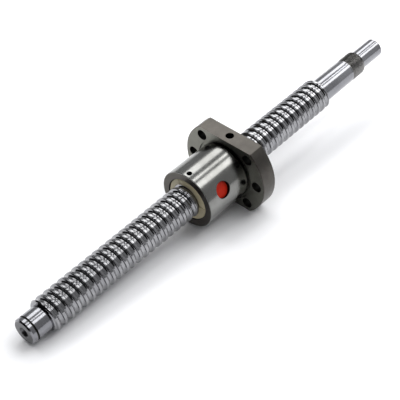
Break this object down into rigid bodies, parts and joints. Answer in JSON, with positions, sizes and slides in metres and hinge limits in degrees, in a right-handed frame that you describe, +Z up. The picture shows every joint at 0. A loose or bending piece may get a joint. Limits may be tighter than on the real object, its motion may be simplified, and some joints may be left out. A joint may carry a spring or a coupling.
{
  "type": "ball screw assembly",
  "caption": "Ground ball screw with machined ends and a round-flanged ball nut that travels as it turns, with internal plug-type ball returns.",
  "frame": {"origin": "centre of the end face of the supported (circlip) end of the screw, on the screw axis", "axes": "+X along the screw axis from the supported end towards the drive end, +Z up through the flange flat that carries the oil port, +Y to the left of a viewer looking along +X"},
  "size_m": [0.3, 0.058, 0.044],
  "materials": {
    "screw_steel": "mirror ground",
    "nut_steel": "ground, darkened flange",
    "ball_steel": "mirror polished",
    "black_steel": "black oxide",
    "deflector_plastic": "matte red",
    "wiper_plastic": "matte beige"
  },
  "bodies": {
    "screw": {"screw_shaft": "screw_steel"},
    "seal": {"rear_seal_ring": "wiper_plastic"},
    "nut": {"nut_body": "nut_steel", "front_wiper": "wiper_plastic", "wiper_set_screw": "black_steel", "return_deflector_1": "deflector_plastic", "return_deflector_2": "deflector_plastic", "return_deflector_3": "deflector_plastic", "circuit_1_balls_return": "ball_steel", "circuit_1_balls_front": "ball_steel", "circuit_1_balls_middle": "ball_steel", "circuit_1_balls_rear": "ball_steel", "circuit_2_balls_return": "ball_steel", "circuit_2_balls_front": "ball_steel", "circuit_2_balls_middle": "ball_steel", "circuit_2_balls_rear": "ball_steel", "circuit_3_balls_return": "ball_steel", "circuit_3_balls_front": "ball_steel", "circuit_3_balls_middle": "ball_steel", "circuit_3_balls_rear": "ball_steel"}
  },
  "joints": [
    {"name": "nut_travel", "type": "slide", "parent": "screw", "child": "seal", "axis": [1, 0, 0], "range_m": [-0.104, 0.074]},
    {"name": "nut_turn", "type": "hinge", "parent": "seal", "child": "nut", "pos_m": [0, 0, 0], "axis": [1, 0, 0], "range_deg": [-7488, 5328]}
  ],
  "couplings": [
    {"joint": "nut_turn", "follows": "nut_travel", "rad_per_m": 1256.6}
  ]
}
